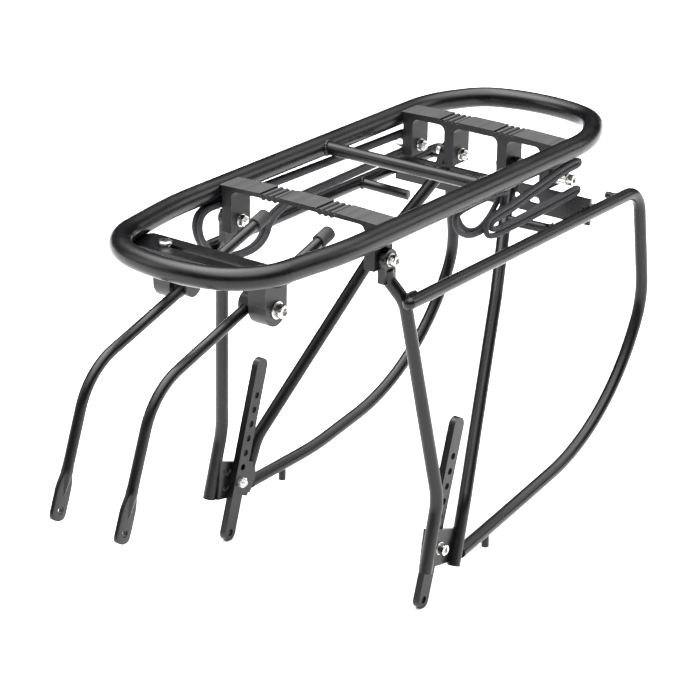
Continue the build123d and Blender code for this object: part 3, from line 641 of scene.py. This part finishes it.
# %% Fasteners
LEG_T, LUG_T, WASHER_T, NUT_T = 9.0, 6.0, 1.0, 4.0
TIP_PAST_NUT = 1.5
GUSSET_OUT = RAIL_Y + 5.3 + 2.0       # the gusset's middle plane, then half its thickness
outer_face = RING_HALF - RING_R
inner_face = outer_face - LEG_T
middle_face, middle_inner = 29.0, 20.0
foot_pivot = {side: np.array(joints[f"foot_{side}_swing"]["pos_m"]) for side in ("right", "left")}
FOOT_T = 5.5
screws, washers_out, washers_in, nuts = {}, [], [], []
foot_hardware = {"bolts": [], "washers": [], "nuts": []}
for out in (1, -1):
    front = at(FRONT_SLAT_X, 0, BOLT_Z)
    rear = at(REAR_SLAT_X, 0, BOLT_Z)

    def lane(place, y):
        """The same screw axis, y millimetres out from the middle on this side."""
        return place + np.array([0, out * y * MM, 0])

    tip = inner_face - WASHER_T - NUT_T - TIP_PAST_NUT
    seat = outer_face + LUG_T + WASHER_T
    screws.setdefault("front_slat_bolts", []).append(socket_screw(lane(front, seat), out, seat - tip))
    washers_out.append(plain_washer(lane(front, outer_face + LUG_T), out))
    washers_in.append(plain_washer(lane(front, inner_face), -out))
    nuts.append(hex_nut(lane(front, inner_face - WASHER_T), -out))

    seat = outer_face + 11.0
    screws.setdefault("rear_slat_bolts", []).append(socket_screw(lane(rear, seat), out, seat - tip))
    washers_in.append(plain_washer(lane(rear, inner_face), -out))
    nuts.append(hex_nut(lane(rear, inner_face - WASHER_T), -out))

    seat = middle_face + LUG_T + WASHER_T
    tip = middle_inner - WASHER_T - NUT_T - TIP_PAST_NUT
    screws.setdefault("inner_leg_bolts", []).append(socket_screw(lane(rear, seat), out, seat - tip))
    washers_out.append(plain_washer(lane(rear, middle_face + LUG_T), out))
    washers_in.append(plain_washer(lane(rear, middle_inner), -out))
    nuts.append(hex_nut(lane(rear, middle_inner - WASHER_T), -out))

    foot = foot_pivot["right"] * [1, 0, 1]
    foot_in = abs(foot_pivot["right"][1]) / MM - FOOT_T / 2 - 0.2
    grip = GUSSET_OUT + WASHER_T - foot_in + NUT_T + TIP_PAST_NUT
    foot_hardware["bolts"].append(socket_screw(lane(foot, GUSSET_OUT + WASHER_T), out, grip))
    foot_hardware["washers"].append(plain_washer(lane(foot, GUSSET_OUT), out))
    foot_hardware["nuts"].append(hex_nut(lane(foot, foot_in), -out))

for name, shells in screws.items():
    piece(name + "_turned", shells, zinc, "rack", [name], crease=28)
piece("outer_washers_stamped", washers_out, zinc, "rack", ["outer_washers"], crease=28)
piece("inner_washers_stamped", washers_in, zinc, "rack", ["inner_washers"], crease=28)
piece("slat_nuts_formed", nuts, zinc, "rack", ["slat_nuts"], crease=28)
for kind, shells in foot_hardware.items():
    piece(f"foot_{kind}_turned", shells, zinc, "rack", [f"foot_{kind}"], crease=28)
print("fasteners made")

# %% [markdown]
# ### Clamp screws
# Each stay passes through a barrel that a larger screw pulls against the clamp block. The screw and
# its washer turn with the barrel, so they ride on that body.

# %% Clamp screws
for side, out in (("right", 1), ("left", -1)):
    low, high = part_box(f"clamp_screw_{side}")
    washer_low, washer_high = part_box(f"clamp_washer_{side}")
    axis = np.array([(low[0] + high[0]) / 2, 0, (low[2] + high[2]) / 2])
    far, near = max(abs(low[1]), abs(high[1])), min(abs(low[1]), abs(high[1]))
    washer_seat = min(abs(washer_low[1]), abs(washer_high[1]))
    washer_end = max(abs(washer_low[1]), abs(washer_high[1]))
    head_h = (far - washer_end) / MM
    screw_length = (washer_end - near) / MM
    screw = socket_screw(axis + [0, out * washer_end, 0], out, screw_length, 3.0, 5.0, head_h, 5.0)
    piece(f"clamp_screw_{side}_turned", [screw], zinc, f"eye_{side}",
          [f"clamp_screw_{side}"], crease=28)
    ring = plain_washer(axis + [0, out * washer_seat, 0], out, 6.4, (washer_end - washer_seat) / MM, 3.02)
    piece(f"clamp_washer_{side}_stamped", [ring], zinc, f"eye_{side}",
          [f"clamp_washer_{side}"], crease=28)

# %% [markdown]
# ## Front stays
# A stay is an 8 mm rod that bends once and ends in a spoon: the last 40 mm are pressed flat across
# the bicycle and drilled for the eyelet screw. The press leaves a pointed tongue of the round rod
# that fades into the flat. Distance from the tip drives everything: the half width grows and then
# closes in a squared round tip, the thickness falls, and the tongue narrows to nothing.

# %% Stay surface
STAY_R, PADDLE_HALF, PADDLE_FLAT, BEND_R = 4.0, 7.5, 2.0, 52.0
BEHIND_EYE, AHEAD_OF_EYE = 87.0, 104.0     # level distances from the eye to the rod's end and its bend


def bent_line(start, corner, end, radius, step):
    """Points along two straight runs joined by a tangent arc, evenly spaced by distance."""
    u, v = unit(start - corner), unit(end - corner)
    half = np.arccos(u @ v) / 2
    reach, turn = radius / tan(half), pi - 2 * half
    centre = corner + unit(u + v) * radius / sin(half)
    arc_from = unit(corner + u * reach - centre)
    arc_side = -u
    before = np.linalg.norm(start - corner) - reach
    after = np.linalg.norm(end - corner) - reach
    runs = np.array([before, radius * turn, after])
    total = runs.sum()
    d = np.linspace(0, total, int(total / step))[:, None]
    angle = np.clip(d - runs[0], 0, runs[1]) / radius
    arc = centre + radius * (np.cos(angle) * arc_from + np.sin(angle) * arc_side)
    path = np.where(d < runs[0], start - u * d, np.where(d > runs[0] + runs[1], end - v * (total - d), arc))
    return path, total


def smooth_step(x):
    x = np.clip(x, 0, 1)
    return x * x * (3 - 2 * x)


def spoon_rod(path, total):
    """Rings whose width and thickness follow the distance u from the tip, in millimetres.

    half width = rod + (flat - rod) * smooth(u from 41 down to 21), then a squared round tip;
    thickness = mix(round, flat) + a tongue sqrt(1 - (x / w)^2) whose half width w shrinks to 0."""
    along_y = np.broadcast_to([0.0, 1.0, 0.0], path.shape)
    side_way = unit(np.cross(along_y, unit(np.gradient(path, axis=0))))
    u = (total - np.linspace(0, total, len(path)))[:, None] / MM
    turn = np.arange(48)[None] / 48 * 2 * pi
    flatness = smooth_step((37 - u) / 7)
    wide = STAY_R + (PADDLE_HALF - STAY_R) * smooth_step((41 - u) / 20)
    short = np.clip((PADDLE_HALF - u) / PADDLE_HALF, 0, 0.995)
    tip = (1 - short ** 3.2) ** (1 / 3.2)
    x = wide * tip * np.cos(turn)
    flat_y = PADDLE_FLAT * np.sign(np.sin(turn)) * np.abs(np.sin(turn)) ** 0.28
    reach = np.clip((u - 17) / 19, 0, 1)
    tongue = np.sqrt(np.maximum(0, 1 - (x / np.maximum(STAY_R * 1.05 * reach, 0.01)) ** 2)) * reach ** 0.6
    pressed = flat_y + np.sign(np.sin(turn)) * tongue * (STAY_R - PADDLE_FLAT) * 0.95
    y = (1 - flatness) * STAY_R * np.sin(turn) + flatness * pressed
    wide_part = x[..., None] * MM * side_way[:, None]
    return shell(path[:, None] + wide_part + y[..., None] * MM * along_y[:, None])


def drill(target, centre, radius):
    """Cuts a hole along Y and keeps the result as the piece's own mesh."""
    cutter_mesh = bpy.data.meshes.new("drill")
    points = turned([(-20, radius / MM), (20, radius / MM)], centre, 1)
    cutter_mesh.from_pydata(points[0].tolist(), [], points[1].tolist() + points[2].tolist())
    cutter = bpy.data.objects.new("drill", cutter_mesh)
    scene.collection.objects.link(cutter)
    cut = target.modifiers.new("hole", "BOOLEAN")
    cut.operation, cut.solver, cut.object = "DIFFERENCE", "EXACT", cutter
    bpy.context.view_layer.update()
    drilled = bpy.data.meshes.new_from_object(target.evaluated_get(bpy.context.evaluated_depsgraph_get()))
    target.modifiers.remove(cut)
    target.data = drilled
    bpy.data.objects.remove(cutter)
    drilled.set_sharp_from_angle(angle=radians(38))


for side in ("right", "left"):
    pivot = np.array(joints[f"eye_{side}_turn"]["pos_m"])
    slide = unit(np.array(joints[f"stay_{side}_reach"]["axis"], float))
    hole = np.array(mounts[f"stay_eye_{side}"]["pos_m"])
    slope = np.arctan2(-slide[2], -slide[0])
    top = pivot - slide * BEHIND_EYE * MM / cos(slope)
    corner = pivot + slide * AHEAD_OF_EYE * MM / cos(slope)
    down = unit(hole - corner)
    path, total = bent_line(top, corner, hole + down * PADDLE_HALF * MM, BEND_R * MM, 0.9 * MM)
    stay = piece(f"stay_{side}_pressed", [spoon_rod(path, total)], powder_coat,
                 f"stay_{side}_body", [f"stay_{side}"], crease=38)
    drill(stay, hole, 2.75 * MM)
print("stay length", round(total / MM, 1), "mm")

# %% [markdown]
# ## Elastic cords
# The cords are closed loops held on the rack. On the right two loops run from a sleeve on the rear
# slat, forward over the front lug and back below it. On the left the spare cord is folded beside the
# rail. Each is one smooth NURBS line through given points, with a round skin; the braid comes
# from the UV map, whose unit is the cord's girth, and a whole number of units closes the loop.

# %% Cords
CORD_R = 2.2
GIRTH = 2 * pi * CORD_R * MM


def cord_skin(points):
    """The skin of a closed cord, and its length in metres."""
    _, length = smooth_line(points, True, 16)
    line, length = smooth_line(points, True, int(length / (1.1 * MM)))
    repeats = max(1, round(length / GIRTH))
    return tube(line, CORD_R * MM, [0, 1, 0], sides=20, loop=True, uv=(1, repeats)), length


first_lane = outer_face + CORD_R + 1.4
over_lug = BOLT_Z + 8 + CORD_R + 1.0
right_loop = [(115.8, -14.8), (89.0, -15.0), (-124.0, -11.4), (-150.0, -11.0), (-153.6, -30.0),
              (-131.0, -53.5), (-80.0, -58.0), (-66.0, -31.5), (10.0, -31.0), (89.0, -30.0), (115.8, -30.2)]
skins = []
for k in (0, 1):
    lane_y = first_lane + k * (2 * CORD_R + 0.25)
    skin, length = cord_skin([at(x, lane_y + 0.06 * (z - over_lug), z) for x, z in right_loop])
    skins.append(skin)
    print("right cord", k + 1, "length", round(length / MM, 1), "mm")
piece("cord_right_braided", skins, cord_braid, "rack", ["cord_right"])

left_y = -(outer_face + 9.8)
left_loop = [(124.5, -10.8), (108.0, -10.4), (94.0, -12.0), (71.0, -15.2), (48.0, -18.3),
             (29.0, -21.2), (10.0, -22.6), (0.0, -24.2), (-4.5, -29.0), (-3.0, -36.5), (6.0, -39.8),
             (20.0, -40.0), (40.0, -39.9), (70.0, -39.5), (108.0, -38.2), (124.5, -37.4),
             (124.8, -32.8), (108.0, -33.4), (70.0, -34.6), (40.0, -35.2), (16.0, -35.3), (6.0, -34.6),
             (1.5, -31.5), (4.0, -28.0), (12.0, -27.1), (29.0, -25.8), (48.0, -23.1), (71.0, -19.9),
             (94.0, -16.3), (108.0, -15.0), (124.5, -15.3)]
skin, length = cord_skin([at(x, left_y, z) for x, z in left_loop])
piece("cord_left_braided", [skin], cord_braid, "rack", ["cord_left"])
print("left cord length", round(length / MM, 1), "mm")

# the spare end hangs in two turns side by side
tail_y = left_y + 2 * CORD_R - 0.1
tail_loop = [(-37.0, -10.1), (-39.5, -18.0), (-33.0, -27.0), (-20.0, -33.4), (-4.7, -34.8), (10.5, -31.2),
             (22.0, -24.5), (28.5, -16.0), (26.0, -10.1)]
inner_loop = [(-30.0, -10.1), (-29.5, -17.0), (-23.5, -26.0), (-13.5, -32.4), (-0.9, -34.8), (12.0, -29.6),
              (23.0, -20.4), (26.5, -14.0), (24.0, -10.1)]
BETWEEN_TURNS = 4.5
turn_lanes = ((tail_loop, tail_y), (inner_loop, tail_y + BETWEEN_TURNS))
turns = [cord_skin([at(x, y, z) for x, z in flat]) for flat, y in turn_lanes]
piece("cord_left_tail_braided", [skin for skin, length in turns], cord_braid, "rack",
      ["cord_left_tail"])
length = turns[0][1]
print("left tail length", round(length / MM, 1), "mm")

# %% [markdown]
# ## Weld beads
# Where one tube runs into another there is a bead, under the paint. It lies on the curve where the
# two cylinders meet: from each point round the smaller tube, go along its axis until the distance
# to the larger tube's axis equals the larger radius, which is a quadratic. The bead's own radius
# ripples like a row of fish scales.


# %% Beads
def ripple(count, scales, radius):
    """A radius that swells once for each scale of the bead."""
    s = np.arange(count) / count * scales * pi
    return radius * (0.86 + 0.22 * np.abs(np.sin(s)))


def saddle_bead(start, axis, small, middle, along, large, radius=1.25, scales=14):
    """A closed bead where a tube from start along axis meets a tube through middle along another axis."""
    axis, along = unit(np.array(axis, float)), unit(np.array(along, float))
    u = unit(np.cross(axis, along))
    v = np.cross(axis, u)
    turn = np.arange(112) / 112 * 2 * pi
    q = start + small * MM * (np.cos(turn)[:, None] * u + np.sin(turn)[:, None] * v) - middle
    q = q - (q @ along)[:, None] * along
    a = axis - (axis @ along) * along
    qa, aa = q @ a, a @ a
    room = np.maximum(qa ** 2 - aa * ((q ** 2).sum(-1) - (large * MM) ** 2), 0)
    s = (-qa - np.sqrt(room)) / aa
    full = start + small * MM * (np.cos(turn)[:, None] * u + np.sin(turn)[:, None] * v) + s[:, None] * axis
    return tube(full, ripple(112, scales, radius * MM), axis, sides=10, loop=True)


def run_bead(points, reference, radius=1.2, pitch=1.6):
    """An open bead along a smooth line, tapered at both ends."""
    _, length = smooth_line(points, False, 8)
    count = max(24, int(length / (0.25 * MM)))
    line, length = smooth_line(points, False, count)
    ends = np.linspace(-1, 1, count)
    taper = np.sqrt(np.maximum(1 - np.abs(ends) ** 6, 0.02))
    scales = max(3, round(length / (pitch * MM)))
    return tube(line, ripple(count, scales, radius * MM) * taper, reference, sides=10)


def by_rail(out, points):
    """Places in metres from (x, distance inboard of the rail, height above it), in millimetres."""
    return [at(x, out * (RAIL_Y - inboard), RAIL_Z + above) for x, inboard, above in points]


X_AXIS, Y_AXIS, Z_AXIS = (1, 0, 0), (0, 1, 0), (0, 0, 1)
PEG_X, PEG_LENGTH, HOOP_LOW_Z = -19, 16, -262
LAMP_X, LAMP_FACE = 122.5, 1.7
deck_beads, side_beads = [], {1: [], -1: []}
for out in (1, -1):
    ring_side = at(0, out * RING_HALF, 0)
    deck_beads.append(saddle_bead(at(0, 0, 0), (0, out, 0), 5.0, ring_side, X_AXIS, RING_R, 1.5, 18))
    bag = side_beads[out]
    rail = at(0, out * RAIL_Y, RAIL_Z)
    for x in (135.0, 168.0):
        stub_end = at(x, out * (RAIL_Y - 13), RAIL_Z)
        bag.append(saddle_bead(stub_end, (0, out, 0), 2.8, rail, X_AXIS, RAIL_R, 0.9, 10))
    bridge_end = at(77, out * 47.5, RAIL_Z - 3)
    bridge_way = at(72, out * RAIL_Y, RAIL_Z) - bridge_end
    bag.append(saddle_bead(bridge_end, bridge_way, 4.0, rail, X_AXIS, RAIL_R, 1.3, 14))
    peg_top = at(PEG_X, out * (RAIL_Y + 6), HOOP_LOW_Z)
    peg_end = peg_top - [0, 0, PEG_LENGTH * MM]
    hoop_middle = peg_top - [0, out * 1.4 * MM, 0.6 * MM]
    bag.append(saddle_bead(peg_end, Z_AXIS, 3.0, hoop_middle, X_AXIS, RAIL_R, 0.9, 10))
    # rail against the front leg, above and below the touching line
    above_line = [(-118, 3.6, 4.2), (-112, 4.6, 4.6), (-105.5, 3.6, 4.0)]
    below_line = [(-116, 3.0, -4.8), (-110, 3.8, -5.4), (-104.5, 3.0, -4.6)]
    for line in (above_line, below_line):
        bag.append(run_bead(by_rail(out, line), Z_AXIS, 1.4))
    # lamp plate against the rail, one bead on each face
    for x in (LAMP_X - LAMP_FACE, LAMP_X + LAMP_FACE):
        bag.append(run_bead(by_rail(out, [(x, 6.2, 3.2), (x, 5.2, 0), (x, 6.2, -3.2)]), X_AXIS, 1.3, 1.3))

for out in (1, -1):
    for x, z in ((-92.0, -242.7), (-94.0, -255.7)):
        arc = [(x - 4.0, z + 1.5), (x - 3.0, z - 2.6), (x + 1.0, z - 3.6), (x + 4.2, z - 0.8)]
        crescent = [at(arc_x, out * (RAIL_Y + 3.2), arc_z) for arc_x, arc_z in arc]
        side_beads[out].append(run_bead(crescent, Y_AXIS, 1.1))
piece("deck_welds", deck_beads, powder_coat, "rack", crease=60)
for out, side in ((1, "right"), (-1, "left")):
    piece(f"side_welds_{side}", side_beads[out], powder_coat, "rack", crease=60)
print("weld beads:", len(deck_beads) + len(side_beads[1]) + len(side_beads[-1]))

# %% [markdown]
# ## Floor, light and camera
# A large pale floor and a white ceiling of light make soft broad reflections. Near the horizon the
# surroundings are dark, so that the middle of each black tube stays black between a light upper and
# a light lower edge. The camera stands where a long lens would, looking down over the front corner.

# %% Floor and light
floor_mesh = bpy.data.meshes.new("floor")
floor_mesh.from_pydata([(-9, -9, 0), (9, -9, 0), (9, 9, 0), (-9, 9, 0)], [], [(0, 1, 2, 3)])
floor = bpy.data.objects.new("floor", floor_mesh)
floor_mesh.transform(Matrix.Translation((0, 0, cad_box[0][2] - 0.0002)))
scene.collection.objects.link(floor)
floor_paint, tree, shader, where = finish("pale floor", (0.9, 0.9, 0.9), Roughness=0.85,
                                          Specular_IOR_Level=0.2)
floor_mesh.materials.append(floor_paint)

world = bpy.data.worlds.new("studio")
scene.world = world
world.use_nodes = True
tree = world.node_tree
direction = node(tree, "ShaderNodeTexCoord").outputs["Generated"]
height = node(tree, "ShaderNodeSeparateXYZ", {0: direction}).outputs["Z"]
glow = spread(tree, height, 0.60, 0.90, 0.015, 7.0)
tree.links.new(glow, tree.nodes["Background"].inputs["Strength"])
tree.nodes["Background"].inputs["Color"].default_value = (1, 1, 1, 1)


def soft_light(name, place, target, size, power):
    """A square soft box that faces target."""
    light = bpy.data.lights.new(name, "AREA")
    light.shape, light.size, light.energy = "SQUARE", size, power
    lamp = bpy.data.objects.new(name, light)
    lamp.location = place
    aim = np.array(target, float) - np.array(place, float)
    lamp.rotation_euler = Vector(aim).to_track_quat("-Z", "Y").to_euler()
    scene.collection.objects.link(lamp)


soft_light("ceiling box", (-0.1, 0.5, 1.6), (0, 0, 0.2), 1.1, 14)
soft_light("left box", (-1.3, 1.3, 1.0), (0, 0, 0.15), 0.9, 8)
soft_light("right box", (1.5, -1.2, 1.0), (0, 0, 0.15), 0.9, 8)

# %% Camera
camera = bpy.data.objects.new("camera", bpy.data.cameras.new("camera"))
camera.data.lens = 136.15
camera.data.sensor_width = 36
forward = Vector((0.7497, 0.5413, -0.3807)).normalized()
level = forward.cross(Vector((0, 0, 1))).normalized()
ROLL = radians(0.91)
right = level * cos(ROLL) + level.cross(forward) * sin(ROLL)
above = right.cross(forward)
turned_to = Matrix((right, above, -forward)).transposed().to_4x4()
camera.matrix_world = Matrix.Translation((-1.4658, -1.0664, 0.9221)) @ turned_to
scene.collection.objects.link(camera)
scene.camera = camera
scene.view_settings.view_transform = "Standard"
